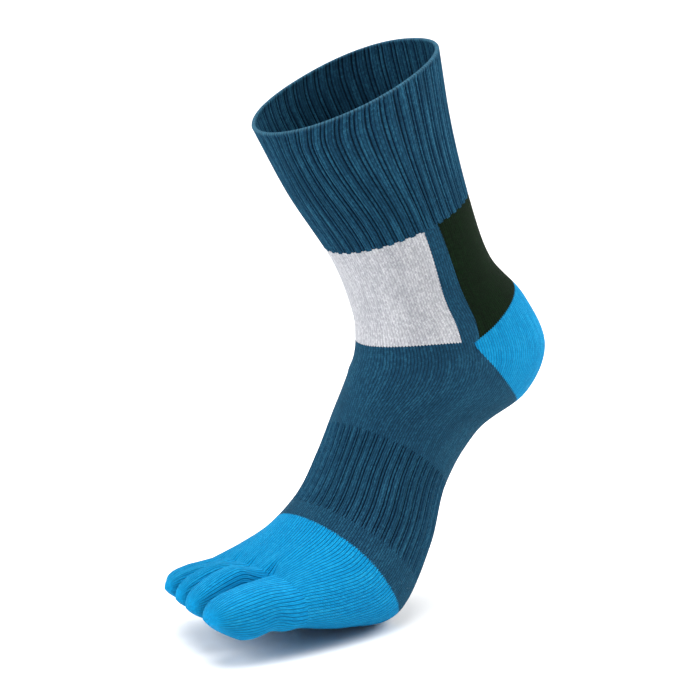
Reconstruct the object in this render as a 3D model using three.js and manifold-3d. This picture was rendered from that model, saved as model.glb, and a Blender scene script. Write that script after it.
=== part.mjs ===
import * as THREE from "three";
import { mergeVertices } from "three/addons/utils/BufferGeometryUtils.js";
import Module from "manifold-3d";

// A toe sock for the right foot, in the shape that it has on a foot that stands on its toes.
// Millimetres, +Z up, the toes towards -X, the heel towards +X and the big toe on the -Y side.
// The origin is the centre of the leg opening.

// Overall sizes
const SOCK_DROP = 247; // from the centre of the leg opening down to the ball of the foot
const HEEL_REACH = 119; // from the centre of the leg opening back to the heel
const FOOT_WIDTH = 82; // across the ball of the foot, and across the leg opening
const TOE_REACH = 95; // from the centre of the leg opening forwards to the tip of the big toe

// Cloth
const CLOTH = 1.9; // thickness of the knitted wall
const TOE_CLOTH = 1.5; // and of the finer toe pockets
const GAP = 0.3; // clearance between neighbouring pieces of the wall
const RIB_COUNT = 42; // ribs round the cuff and round the arch band, four wales to a rib
const RIB_DEPTH = 0.7; // depth of the furrow between two ribs
const FURROW_SHARE = 0.34; // part of a rib's pitch that the furrow takes

// Sections down the sock from the rim to the webs between the toes. Each is an oval that runs from a front
// point to a back point. x is a share of HEEL_REACH, z of SOCK_DROP and half of FOOT_WIDTH; middle is where
// along its depth the oval is widest; front_power and back_power are the squareness of its two halves, 2
// being an ellipse.
const SECTION_COLUMNS = [
  "front_x", "front_z", "back_x", "back_z", "half", "middle", "front_power", "back_power",
];
const SECTIONS = [
  [-0.37, -0.083, 0.37, 0.083, 0.51, 0.5, 1.75, 2.2], // rim
  [-0.205, -0.206, 0.455, -0.065, 0.44, 0.5, 1.9, 2.0],
  [0.01, -0.336, 0.56, -0.206, 0.39, 0.5, 2.0, 2.0], // top of the colour blocks
  [0.105, -0.433, 0.685, -0.324, 0.37, 0.5, 2.0, 2.0],
  [0.115, -0.486, 0.885, -0.41, 0.37, 0.46, 2.0, 2.1], // ankle
  [0.095, -0.525, 1.0, -0.514, 0.38, 0.45, 2.0, 2.3], // heel
  [0.06, -0.563, 0.895, -0.608, 0.38, 0.42, 2.0, 2.3],
  [0.02, -0.611, 0.62, -0.67, 0.38, 0.45, 2.0, 2.1],
  [-0.045, -0.685, 0.44, -0.765, 0.39, 0.45, 2.0, 2.1], // arch
  [-0.13, -0.755, 0.34, -0.885, 0.42, 0.45, 2.0, 2.2],
  [-0.235, -0.805, 0.13, -0.998, 0.46, 0.45, 2.1, 2.7], // ball
  [-0.33, -0.84, -0.15, -0.995, 0.49, 0.5, 2.4, 2.8],
  [-0.43, -0.87, -0.42, -0.968, 0.49, 0.5, 2.8, 2.8], // webs
];
const WEBS = SECTIONS.length - 1;

// Where the pieces end along the row of sections, at the front and at the back of the sock.
const RIM = [0, 0];
const CUFF_END = [1.77, 1.88];
const BLOCK_END = [4.0, 4.95];
const ARCH_START = [7.8, 8.15];
const ARCH_END = [9.3, 9.6];
const TOES_START = [9.83, 10.1];
const TOES_ROOT = [WEBS, WEBS];

// The colour blocks and the heel. A place round the sock is a share of the way round from the middle of the
// front; the other side mirrors it.
const FRONT_BLOCK_EDGE = [0.203, 0.188]; // at its top and at its bottom
const BACK_BLOCK_EDGE = [0.24, 0.228];
const HEEL_CORNER = [0.214, 4.4]; // round, and along the sections
const HEEL_EDGES = [3.58, 6.35]; // where the heel's upper and lower edge cross the middle of the back
const HEEL_BOWS = [1, 0.6]; // how fast the two edges leave the corner, faster where it is smaller

// Toe pockets from the big toe to the little toe. Each keeps to a lane whose two sides run from the webs to
// the front of the sock: base and front hold a side's y as a share of FOOT_WIDTH. reach is a share of
// TOE_REACH; knuckle, tip_top, tip_bottom are heights as shares of SOCK_DROP.
const TOE_COLUMNS = [
  "name", "reach", "base_from", "base_to", "front_from", "front_to", "knuckle", "tip_top", "tip_bottom",
];
const TOES = [
  ["big_toe", 1.0, -0.49, -0.2, -0.47, -0.19, -0.88, -0.895, -0.955],
  ["second_toe", 0.97, -0.2, 0.0, -0.16, 0.03, -0.872, -0.9, -0.952],
  ["third_toe", 0.925, 0.0, 0.18, 0.03, 0.21, -0.875, -0.9, -0.95],
  ["fourth_toe", 0.87, 0.18, 0.34, 0.21, 0.37, -0.88, -0.895, -0.948],
  ["little_toe", 0.79, 0.34, 0.49, 0.37, 0.53, -0.885, -0.9, -0.948],
];
const TOE_POWER = [7, 2.3]; // squareness of a toe pocket at its root and beyond its knuckle
const TOE_KNUCKLE = 0.4; // share of a toe's length where the knuckle is
const TOE_ROUNDING = 0.55; // share of its length from which the toe rounds off to its tip
const TIP_POWER = 2.3; // squareness of the tip

// How finely the faces are cut: faces round a piece and along it, outside and inside
const CUFF_ROWS = [5, 3];
const BAND_ROWS = [3, 3];
const PLAIN_ROUND = [42, 32];
const ANKLE_ROWS = [14, 10];
const MIDFOOT_ROWS = [3, 2];
const FOREFOOT_ROWS = [6, 4];
const TOE_ROUND = [16, 10];
const TOE_ROWS = [9, 6];
const CUTTER_FACES = 10;

const named = (columns, row) => Object.fromEntries(columns.map((name, i) => [name, row[i]]));
const lerp = (a, b, t) => a + (b - a) * t;
const smooth = (t) => THREE.MathUtils.smoothstep(t, 0, 1);
const signedPower = (value, power) => Math.sign(value) * Math.abs(value) ** power;

// Catmull-Rom curve through the rows of a table, each column on its own, straight on at both ends.
function rowAt(rows, place) {
  const last = rows.length - 1;
  const i = Math.min(Math.max(Math.floor(place), 0), last - 1);
  const t = place - i;
  return rows[i].map((p1, c) => {
    const p2 = rows[i + 1][c];
    const p0 = i > 0 ? rows[i - 1][c] : 2 * p1 - p2;
    const p3 = i + 2 <= last ? rows[i + 2][c] : 2 * p2 - p1;
    const bend = 2 * p0 - 5 * p1 + 4 * p2 - p3;
    const twist = 3 * p1 - p0 - 3 * p2 + p3;
    return p1 + 0.5 * ((p2 - p0) * t + bend * t * t + twist * t * t * t);
  });
}

// The oval at a place along the sections: points round it from the middle of the front by way of the
// big-toe side, and how far round each one is.
const OVAL_STEPS = 360;
const ovals = new Map();
function oval(place) {
  if (ovals.has(place)) return ovals.get(place);
  const s = named(SECTION_COLUMNS, rowAt(SECTIONS, place));
  const front = new THREE.Vector3(s.front_x * HEEL_REACH, 0, s.front_z * SOCK_DROP);
  const back = new THREE.Vector3(s.back_x * HEEL_REACH, 0, s.back_z * SOCK_DROP);
  const points = [];
  const lengths = [0];
  for (let i = 0; i <= OVAL_STEPS; i += 1) {
    const turn = (i / OVAL_STEPS) * 2 * Math.PI;
    const power = 2 / (Math.cos(turn) > 0 ? s.front_power : s.back_power);
    const along = signedPower(Math.cos(turn), power);
    const reach = along > 0 ? s.middle : 1 - s.middle;
    const point = front.clone().lerp(back, s.middle - reach * along);
    point.y = -signedPower(Math.sin(turn), power) * s.half * FOOT_WIDTH;
    if (i > 0) lengths.push(lengths[i - 1] + point.distanceTo(points[i - 1]));
    points.push(point);
  }
  ovals.set(place, { points, lengths });
  return ovals.get(place);
}

// A point of the sock's outer surface.
function surface(round, place) {
  const { points, lengths } = oval(place);
  const wanted = (round - Math.floor(round)) * lengths[OVAL_STEPS];
  let low = 0;
  let high = OVAL_STEPS;
  while (high - low > 1) {
    const mid = (low + high) >> 1;
    if (lengths[mid] > wanted) high = mid;
    else low = mid;
  }
  return points[low].clone().lerp(points[high], (wanted - lengths[low]) / (lengths[high] - lengths[low]));
}

// The direction that faces out of the cloth at a point of the surface.
const SMALL_ROUND = 0.006;
const SMALL_PLACE = 0.06;
function outward(round, place) {
  const ahead = surface(round + SMALL_ROUND, place).sub(surface(round - SMALL_ROUND, place));
  const down = surface(round, place + SMALL_PLACE).sub(surface(round, place - SMALL_PLACE));
  return down.cross(ahead).normalize();
}

// A point at a height over the surface, below it where the height is negative.
const over = (round, place, height) => surface(round, place).addScaledVector(outward(round, place), height);

// A place moved along the sock, or round it, by a length in millimetres.
const along = (round, place, length) =>
  place + (length * SMALL_PLACE) / surface(round, place + SMALL_PLACE).distanceTo(surface(round, place));
const around = (round, place, length) =>
  round + (length * SMALL_ROUND) / surface(round + SMALL_ROUND, place).distanceTo(surface(round, place));

// Share of the way from the front of the sock to the back: 0 in front, 1 behind, the same on both sides.
const backness = (round) => (1 - Math.cos(2 * Math.PI * round)) / 2;
// The edge of a piece that crosses the front and the back at two places along the sock.
const edge = ([front, back]) => (round) => lerp(front, back, backness(round));

// The outline of a rib: 0 on the rib, down to minus its depth in the furrow, which three points shape.
const ribRounds = [];
for (let i = 0; i < RIB_COUNT; i += 1) {
  for (const share of [0, FURROW_SHARE / 2, 1 - FURROW_SHARE / 2]) ribRounds.push((i + share) / RIB_COUNT);
}
function ribHeight(round) {
  const share = (round * RIB_COUNT) % 1;
  const away = Math.min(share, 1 - share) / (FURROW_SHARE / 2);
  return -RIB_DEPTH * Math.max(1 - away, 0);
}

const evenRounds = (count) => Array.from({ length: count }, (_, i) => i / count);
const steps = (count) => Array.from({ length: count + 1 }, (_, i) => i / count);

// Collects triangles and makes one closed geometry of them.
class Cloth {
  constructor() {
    this.corners = [];
  }

  triangle(a, b, c) {
    this.corners.push(a, b, c);
  }

  // Faces between two rows of points that have the same number of points.
  strip(upper, lower, closed) {
    const last = closed ? upper.length : upper.length - 1;
    for (let i = 0; i < last; i += 1) {
      const next = (i + 1) % upper.length;
      this.triangle(upper[i], lower[i], lower[next]);
      this.triangle(upper[i], lower[next], upper[next]);
    }
  }

  // Faces between two closed rows of points whose numbers may differ, walked round side by side.
  zip(first, second) {
    let i = 0;
    let j = 0;
    while (i < first.length || j < second.length) {
      const a = first[i % first.length];
      const b = second[j % second.length];
      if ((i + 1) / first.length <= (j + 1) / second.length) {
        i += 1;
        this.triangle(a, b, first[i % first.length]);
      } else {
        j += 1;
        this.triangle(a, b, second[j % second.length]);
      }
    }
  }

  geometry() {
    const whole = new THREE.BufferGeometry().setFromPoints(this.corners);
    const merged = mergeVertices(whole, 1e-4);
    const index = [];
    for (let i = 0; i < merged.index.count; i += 3) {
      const [a, b, c] = [0, 1, 2].map((k) => merged.index.getX(i + k));
      if (a !== b && b !== c && c !== a) index.push(a, b, c);
    }
    merged.setIndex(index);
    return merged;
  }
}

// A tube of cloth: outer and inner are lists of rows of points, from its first edge to its last.
function tube(outer, inner) {
  const cloth = new Cloth();
  for (let k = 1; k < outer.length; k += 1) cloth.strip(outer[k - 1], outer[k], true);
  for (let k = 1; k < inner.length; k += 1) cloth.strip(inner[k], inner[k - 1], true);
  cloth.zip(inner[0], outer[0]);
  cloth.zip(outer[outer.length - 1], inner[inner.length - 1]);
  return cloth;
}

// A piece of the sock between two edges, right round it. The edges stand half a clearance inside.
function ring(from, to, outerRounds, innerRounds, rows, height, thickness) {
  const [start, end] = [edge(from), edge(to)];
  const rowsOf = (rounds, count, heightOf) =>
    steps(count).map((t) =>
      rounds.map((round) => {
        const first = along(round, start(round), GAP / 2);
        const last = along(round, end(round), -GAP / 2);
        return over(round, lerp(first, last, t), heightOf(round));
      }));
  const inner = rowsOf(innerRounds, rows[1], () => -thickness);
  return tube(rowsOf(outerRounds, rows[0], height), inner).geometry();
}

// A slab that stands through the wall of the sock and cuts a patch out of it. spot gives the place round and
// along the sock for two shares from 0 to 1, across the patch and down it.
const CUTTER_OUT = 8;
const CUTTER_IN = 9;
const CUTTER_PAST = 2; // how far it stands past an edge that the wall already has
function slab(spot) {
  const layer = (height) =>
    steps(CUTTER_FACES).map((down) =>
      steps(CUTTER_FACES).map((across) => over(...spot(across, down), height)));
  const [top, base] = [layer(CUTTER_OUT), layer(-CUTTER_IN)];
  const cloth = new Cloth();
  for (let k = 1; k < top.length; k += 1) {
    cloth.strip(top[k - 1], top[k], false);
    cloth.strip(base[k], base[k - 1], false);
  }
  const column = (layers, i) => layers.map((row) => row[i]);
  cloth.strip(base[0], top[0], false);
  cloth.strip(top[CUTTER_FACES], base[CUTTER_FACES], false);
  cloth.strip(column(top, 0), column(base, 0), false);
  cloth.strip(column(base, CUTTER_FACES), column(top, CUTTER_FACES), false);
  return cloth.geometry();
}

// Both blocks start at the end of the cuff. grow widens a cutter by that length.
function frontBlockSlab(grow) {
  return slab((across, down) => {
    const side = around(0, CUFF_END[0], grow) + lerp(...FRONT_BLOCK_EDGE, down);
    const round = lerp(-side, side, across);
    const place = lerp(edge(CUFF_END)(round), edge(BLOCK_END)(round), down);
    return [round, along(round, place, lerp(-CUTTER_PAST, grow, down))];
  });
}

// The heel's edges leave its corner and meet again at the other corner, by way of the back.
function heelEdge(end) {
  return (round) => {
    const [corner, place] = HEEL_CORNER;
    const share = (0.5 - Math.abs(round - 0.5) - corner) / (0.5 - corner);
    return lerp(place, HEEL_EDGES[end], Math.sin((Math.max(share, 0) * Math.PI) / 2) ** HEEL_BOWS[end]);
  };
}

function backBlockSlab(grow) {
  return slab((across, down) => {
    const side = around(0, CUFF_END[0], -grow) + lerp(...BACK_BLOCK_EDGE, down);
    const round = lerp(side, 1 - side, across);
    const place = lerp(edge(CUFF_END)(round), heelEdge(0)(round), down);
    return [round, along(round, place, lerp(-CUTTER_PAST, CUTTER_PAST, down))];
  });
}

function heelSlab(grow) {
  return slab((across, down) => {
    const round = lerp(HEEL_CORNER[0], 1 - HEEL_CORNER[0], backness(across / 2));
    const place = lerp(heelEdge(0)(round), heelEdge(1)(round), down);
    return [around(round, place, lerp(-grow, grow, across)), along(round, place, lerp(-grow, grow, down))];
  });
}

const wasm = await Module();
wasm.setup();

function solid(geometry) {
  return new wasm.Manifold(new wasm.Mesh({
    numProp: 3,
    vertProperties: geometry.attributes.position.array,
    triVerts: new Uint32Array(geometry.index.array),
  }));
}

// The geometry of a cut wall, without the crumbs that a cut may leave beside an edge.
function geometryOf(wall) {
  const largest = wall.decompose().reduce((a, b) => (a.volume() > b.volume() ? a : b));
  const { vertProperties, triVerts } = largest.getMesh();
  const geometry = new THREE.BufferGeometry();
  geometry.setAttribute("position", new THREE.BufferAttribute(new Float32Array(vertProperties), 3));
  geometry.setIndex(Array.from(triVerts));
  return geometry;
}

const sock = new THREE.Group();
sock.name = "toe_sock";

function piece(name, geometry, yarn) {
  const faces = geometry.toNonIndexed();
  faces.computeVertexNormals();
  const cloth = new THREE.MeshStandardMaterial({ color: yarn, roughness: 0.9, metalness: 0 });
  const mesh = new THREE.Mesh(faces, cloth);
  mesh.name = name;
  sock.add(mesh);
}

// Yarns
const TEAL = "#254b66";
const BLUE = "#1c97d2";
const PALE_GREY = "#c3c4c9";
const BOTTLE_GREEN = "#14231a";

function makeCuff() {
  const inside = evenRounds(RIB_COUNT);
  piece("cuff", ring(RIM, CUFF_END, ribRounds, inside, CUFF_ROWS, ribHeight, CLOTH), TEAL);
}

function makeAnkle() {
  const [outside, inside] = PLAIN_ROUND.map(evenRounds);
  const wall = solid(ring(CUFF_END, ARCH_START, outside, inside, ANKLE_ROWS, () => 0, CLOTH));
  const half = GAP / 2;
  const [heelHole, frontHole, backHole] = [heelSlab, frontBlockSlab, backBlockSlab].map((cutter) =>
    solid(cutter(half)));
  const heel = wall.intersect(solid(heelSlab(-half)));
  const front = wall.intersect(solid(frontBlockSlab(-half)));
  const back = wall.intersect(solid(backBlockSlab(-half))).subtract(heelHole);
  const rest = wall.subtract(heelHole).subtract(frontHole).subtract(backHole);
  piece("ankle", geometryOf(rest), TEAL);
  piece("front_block", geometryOf(front), PALE_GREY);
  piece("back_block", geometryOf(back), BOTTLE_GREEN);
  piece("heel_pocket", geometryOf(heel), BLUE);
}

function makeArchBand() {
  const inside = evenRounds(RIB_COUNT);
  piece("arch_band", ring(ARCH_START, ARCH_END, ribRounds, inside, BAND_ROWS, ribHeight, CLOTH), TEAL);
}

function makeMidfoot() {
  const [outside, inside] = PLAIN_ROUND.map(evenRounds);
  piece("midfoot", ring(ARCH_END, TOES_START, outside, inside, MIDFOOT_ROWS, () => 0, CLOTH), TEAL);
}

function makeForefoot() {
  const [outside, inside] = PLAIN_ROUND.map(evenRounds);
  piece("forefoot", ring(TOES_START, TOES_ROOT, outside, inside, FOREFOOT_ROWS, () => 0, TOE_CLOTH), BLUE);
}

// The top and the bottom of the sock's last oval at a distance across it.
const web = named(SECTION_COLUMNS, SECTIONS[WEBS]);
function webHeights(y, inset) {
  const high = web.front_z * SOCK_DROP - inset;
  const low = web.back_z * SOCK_DROP + inset;
  const off = Math.min(Math.abs(y) / (web.half * FOOT_WIDTH - inset), 1);
  const half = (high - low) / 2;
  const rise = half * (1 - off ** web.front_power) ** (1 / web.front_power);
  return [(high + low) / 2 + rise, (high + low) / 2 - rise];
}

// One row of points round a toe pocket, at a share of its length. inset is the cloth's thickness for the
// inner side. A unit square, rounder beyond the root, is laid over the lane's width and the toe's height.
function toeRow(toe, share, inset, count) {
  const root = web.front_x * HEEL_REACH - GAP / 2;
  const tip = -toe.reach * TOE_REACH + inset;
  const x = lerp(root, tip, share);
  const lane = (x - root) / (-TOE_REACH - root);
  const from = lerp(toe.base_from, toe.front_from, lane) * FOOT_WIDTH + GAP / 2 + inset;
  const to = lerp(toe.base_to, toe.front_to, lane) * FOOT_WIDTH - GAP / 2 - inset;
  const power = lerp(...TOE_POWER, smooth(share / TOE_KNUCKLE));
  const past = Math.max(share - TOE_ROUNDING, 0) / (1 - TOE_ROUNDING);
  const size = (1 - past ** TIP_POWER) ** (1 / TIP_POWER);
  const knuckle = lerp(toe.knuckle, toe.tip_top, smooth((share - TOE_KNUCKLE / 2) / (1 - TOE_KNUCKLE / 2)));
  const sole = lerp(web.back_z, toe.tip_bottom, smooth(share));
  const own = smooth(share / TOE_KNUCKLE);
  return evenRounds(count).map((round) => {
    const turn = 2 * Math.PI * round;
    const across = signedPower(Math.cos(turn), 2 / power) * size;
    const up = signedPower(Math.sin(turn), 2 / power) * size;
    const y = lerp(from, to, (across + 1) / 2);
    const [webTop, webBottom] = webHeights(y, inset);
    const top = lerp(webTop, knuckle * SOCK_DROP - inset, own);
    const bottom = lerp(webBottom, sole * SOCK_DROP + inset, own);
    return new THREE.Vector3(x, y, lerp(bottom, top, (up + 1) / 2));
  });
}

// A toe pocket is open at its root and closed at its tip. Its rows stand closer together at the tip.
function makeToe(row) {
  const toe = named(TOE_COLUMNS, row);
  const rows = (kind, inset) =>
    steps(TOE_ROWS[kind]).map((t) => toeRow(toe, Math.sin((t * Math.PI) / 2), inset, TOE_ROUND[kind]));
  const outer = rows(0, 0);
  const inner = rows(1, TOE_CLOTH);
  const cloth = new Cloth();
  for (let k = 1; k < outer.length; k += 1) cloth.strip(outer[k - 1], outer[k], true);
  for (let k = 1; k < inner.length; k += 1) cloth.strip(inner[k], inner[k - 1], true);
  cloth.zip(inner[0], outer[0]);
  piece(toe.name, cloth.geometry(), BLUE);
}

makeCuff();
makeAnkle();
makeArchBand();
makeMidfoot();
makeForefoot();
TOES.forEach(makeToe);

export default sock;
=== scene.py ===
# %% [markdown]
# A toe sock is one knitted tube that narrows from the leg to the ball of the foot and ends in five small
# pockets. Blender gets its finished cloth here: the ribs, the stitches, the yarns and the light on them.
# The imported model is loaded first, because every piece below stands for one of its solids.

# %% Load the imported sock
import bpy
import numpy as np
from math import pi, radians
from mathutils import Matrix, Vector


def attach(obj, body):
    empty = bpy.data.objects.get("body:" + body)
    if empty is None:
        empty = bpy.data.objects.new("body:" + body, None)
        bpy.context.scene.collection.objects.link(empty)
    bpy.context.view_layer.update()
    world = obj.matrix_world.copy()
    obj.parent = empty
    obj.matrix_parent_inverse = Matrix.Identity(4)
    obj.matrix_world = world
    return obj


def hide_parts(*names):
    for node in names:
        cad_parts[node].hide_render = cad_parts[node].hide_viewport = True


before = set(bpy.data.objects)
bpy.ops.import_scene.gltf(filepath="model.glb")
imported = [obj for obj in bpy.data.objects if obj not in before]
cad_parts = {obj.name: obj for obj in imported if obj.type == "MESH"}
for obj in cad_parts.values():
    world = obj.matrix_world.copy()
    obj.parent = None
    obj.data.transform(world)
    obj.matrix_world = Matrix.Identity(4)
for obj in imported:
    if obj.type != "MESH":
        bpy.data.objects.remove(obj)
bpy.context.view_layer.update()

# %% [markdown]
# The sizes are those of a sock for an adult foot, in metres. The sock is worn by a foot that stands on its
# toes, so the table gives ovals that fan out round the ankle and run on to the webs between the toes. One
# smooth curve through the rows is better than straight pieces, because cloth on a foot has no corners.

# %% Sizes and sections
SOCK_DROP, HEEL_REACH, FOOT_WIDTH, TOE_REACH = 0.247, 0.119, 0.082, 0.095
CLOTH, TOE_CLOTH = 0.0019, 0.0015
SECTION_COLUMNS = ("front_x", "front_z", "back_x", "back_z", "half", "middle", "front_power", "back_power")
SECTIONS = np.array([
    [-0.355, -0.086, 0.355, 0.085, 0.49, 0.5, 2.0, 2.25],  # rim
    [-0.205, -0.206, 0.455, -0.065, 0.44, 0.5, 1.9, 2.0],
    [0.01, -0.336, 0.56, -0.206, 0.39, 0.5, 2.0, 2.0],  # top of the colour blocks
    [0.105, -0.433, 0.685, -0.324, 0.37, 0.5, 2.0, 2.0],
    [0.115, -0.486, 0.885, -0.41, 0.37, 0.46, 2.0, 2.1],  # ankle
    [0.095, -0.525, 1.0, -0.514, 0.38, 0.45, 2.0, 2.3],  # heel
    [0.06, -0.563, 0.895, -0.608, 0.38, 0.42, 2.0, 2.3],
    [0.02, -0.611, 0.62, -0.67, 0.38, 0.45, 2.0, 2.1],
    [-0.045, -0.685, 0.44, -0.765, 0.39, 0.45, 2.0, 2.1],  # arch
    [-0.13, -0.755, 0.34, -0.885, 0.42, 0.45, 2.0, 2.2],
    [-0.235, -0.805, 0.13, -0.998, 0.46, 0.45, 2.1, 2.7],  # ball
    [-0.33, -0.84, -0.15, -0.995, 0.49, 0.5, 2.4, 2.8],
    [-0.43, -0.87, -0.42, -0.968, 0.49, 0.5, 2.8, 2.8],  # webs
])
WEBS = len(SECTIONS) - 1


def section_at(place):
    """The table's row at a place: a Catmull-Rom curve through the rows, each column on its own."""
    i = np.clip(np.floor(place).astype(int), 0, WEBS - 1)
    t = (place - i)[..., None]
    before, here, after = SECTIONS[np.maximum(i - 1, 0)], SECTIONS[i], SECTIONS[i + 1]
    beyond = SECTIONS[np.minimum(i + 2, WEBS)]
    before = np.where((i > 0)[..., None], before, 2 * here - after)
    beyond = np.where((i + 2 <= WEBS)[..., None], beyond, 2 * after - here)
    bend = 2 * before - 5 * here + 4 * after - beyond
    twist = 3 * here - before - 3 * after + beyond
    return here + 0.5 * ((after - before) * t + bend * t**2 + twist * t**3)


def named(columns, rows):
    """A dictionary with one array for each column of a table."""
    return {name: rows[..., i] for i, name in enumerate(columns)}


print("sections:", len(SECTIONS), "height in mm:", round(SOCK_DROP * 1000))

# %% [markdown]
# Each oval is a superellipse, an ellipse whose squareness can be set. Knitted cloth has the same number of
# wales, its columns of stitches, all the way down a tube, so the points are set evenly along each oval and a
# wale keeps one share of the way round. The ovals are worked out once into a fine table, and every piece
# below reads its points from it, so neighbours meet exactly.

# %% The fine table of the sock's surface
PLACES, ROUNDS = 1201, 1440
SLOPE_DOWN, SLOPE_ROUND = 6, 8  # steps of the table on each side that a slope is taken over


def power_of(value, power):
    """The value raised to a power, with its sign kept."""
    return np.sign(value) * np.abs(value) ** power


def even_ovals():
    """Points of all ovals: x and z go from front to back by the cosine, y by the sine, each raised to two
    over the squareness, and then the points are shifted along the oval until they stand evenly."""
    places = np.linspace(0, WEBS, PLACES)
    oval = {name: value[:, None] for name, value in named(SECTION_COLUMNS, section_at(places)).items()}
    turn = np.linspace(0, 2 * pi, ROUNDS + 1)[None]
    power = 2 / np.where(np.cos(turn) > 0, oval["front_power"], oval["back_power"])
    ahead = power_of(np.cos(turn), power)
    share = oval["middle"] - np.where(ahead > 0, oval["middle"], 1 - oval["middle"]) * ahead
    x = (oval["front_x"] + (oval["back_x"] - oval["front_x"]) * share) * HEEL_REACH
    z = (oval["front_z"] + (oval["back_z"] - oval["front_z"]) * share) * SOCK_DROP
    y = -power_of(np.sin(turn), power) * oval["half"] * FOOT_WIDTH
    raw = np.stack([x, y, z], -1)
    steps = np.linalg.norm(np.diff(raw, axis=1), axis=-1)
    length = np.concatenate([np.zeros((PLACES, 1)), np.cumsum(steps, axis=1)], 1)
    wanted = np.linspace(0, 1, ROUNDS + 1)[:-1]
    even = [[np.interp(wanted, l / l[-1], row[:, k]) for k in range(3)] for row, l in zip(raw, length)]
    return np.array(even).transpose(0, 2, 1), length[:, -1]


SKIN, GIRTH = even_ovals()


def slope(table, axis, reach):
    """Central differences over a few steps of the table, wrapped round the sock."""
    if axis == 1:
        return np.roll(table, -reach, 1) - np.roll(table, reach, 1)
    padded = np.concatenate([np.repeat(table[:1], reach, 0), table, np.repeat(table[-1:], reach, 0)])
    return padded[2 * reach:] - padded[:-2 * reach]


OUTWARD = np.cross(slope(SKIN, 0, SLOPE_DOWN), slope(SKIN, 1, SLOPE_ROUND))
OUTWARD /= np.linalg.norm(OUTWARD, axis=-1, keepdims=True)
RUN = np.cumsum(np.linalg.norm(np.diff(SKIN, axis=0, prepend=SKIN[:1]), axis=-1), axis=0)


def read(table, around, place):
    """The table between its entries, by straight lines both ways."""
    row = np.clip(place / WEBS, 0, 1) * (PLACES - 1)
    column = (around % 1.0) * ROUNDS
    r = np.minimum(row.astype(int), PLACES - 2)
    c = column.astype(int) % ROUNDS
    n = (c + 1) % ROUNDS
    extra = (...,) + (None,) * (table.ndim - 2)
    down, across = (row - r)[extra], (column - np.floor(column))[extra]
    upper = table[r, c] * (1 - across) + table[r, n] * across
    lower = table[r + 1, c] * (1 - across) + table[r + 1, n] * across
    return upper * (1 - down) + lower * down


print("girth in mm at rim, ankle, arch, webs:", (GIRTH[[0, 400, 800, 1200]] * 1000).round().tolist())

# %% [markdown]
# The colour areas end along curves that cross the front and the back of the sock at different heights. The
# heel's two edges leave one corner on each side of the ankle, as the gores of a knitted heel do. The curves
# are functions of the share of the way round, and neighbours use the same one.

# %% Where the pieces end
CUFF_END = (1.77, 1.88)
BLOCK_END = (4.0, 4.95)
ARCH_START, ARCH_END = (7.28, 8.15), (9.3, 9.6)
TOES_START, TOES_ROOT = (9.72, 10.08), (12.0, 12.0)
WALES = 168
HALF_WALE = 1 / (2 * WALES)
FRONT_SIDE = (0.203, 63 * HALF_WALE)
BACK_SIDE = (0.24, 77 * HALF_WALE)
CORNER = (72 * HALF_WALE, 4.4)
UPPER, LOWER = 0, 1
HEEL_EDGES, HEEL_BOWS = (3.58, 6.35), (1.0, 0.6)


def blend(a, b, t):
    """The way from a to b, at share t."""
    return a + (b - a) * t


def eased(t):
    """Smooth step: 0 below 0, 1 above 1, and level at both."""
    t = np.clip(t, 0, 1)
    return t * t * (3 - 2 * t)


def crossing(ends):
    """An edge that crosses the front at one place and the back at another, by the cosine of the way round."""
    return lambda around: blend(ends[0], ends[1], (1 - np.cos(2 * pi * around)) / 2)


def from_front(around):
    """How far round a point is from the middle of the front, the same on both sides."""
    return 0.5 - np.abs(around % 1.0 - 0.5)


def heel_edge(end):
    """The heel's upper or lower edge: from its corner to the middle of the back by a power of the sine."""
    def place(around):
        share = (from_front(around) - CORNER[0]) / (0.5 - CORNER[0])
        bow = np.sin(np.clip(share, 0, 1) * pi / 2) ** HEEL_BOWS[end]
        return blend(CORNER[1], HEEL_EDGES[end], bow)
    return place


def ankle_top(around):
    """Where the ankle's cloth starts below the blocks and the heel."""
    side = from_front(around)
    step = (side - FRONT_SIDE[1]) / (CORNER[0] - FRONT_SIDE[1])
    corner_place = blend(crossing(BLOCK_END)(FRONT_SIDE[1]), CORNER[1], np.clip(step, 0, 1))
    under_block = np.where(side < FRONT_SIDE[1], crossing(BLOCK_END)(side), corner_place)
    return np.where(side < CORNER[0], under_block, heel_edge(LOWER)(side))


def block_bottom(around):
    """Where the blocks and the strip between them end, above the ankle and the heel."""
    side = from_front(around)
    return np.where(side < CORNER[0], ankle_top(side), heel_edge(UPPER)(side))


print("heel corner at", [round(v, 3) for v in CORNER])

# %% [markdown]
# Cloth on a foot isn't perfectly smooth. It gathers in front of the ankle, pulls towards the heel's corners
# and lies a little uneven over the arch. These soft forms are low ridges and hollows, each one a hump along
# a short line. They are added to every piece through one function, so that a fold crosses from one piece to
# the next without a break.

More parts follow.
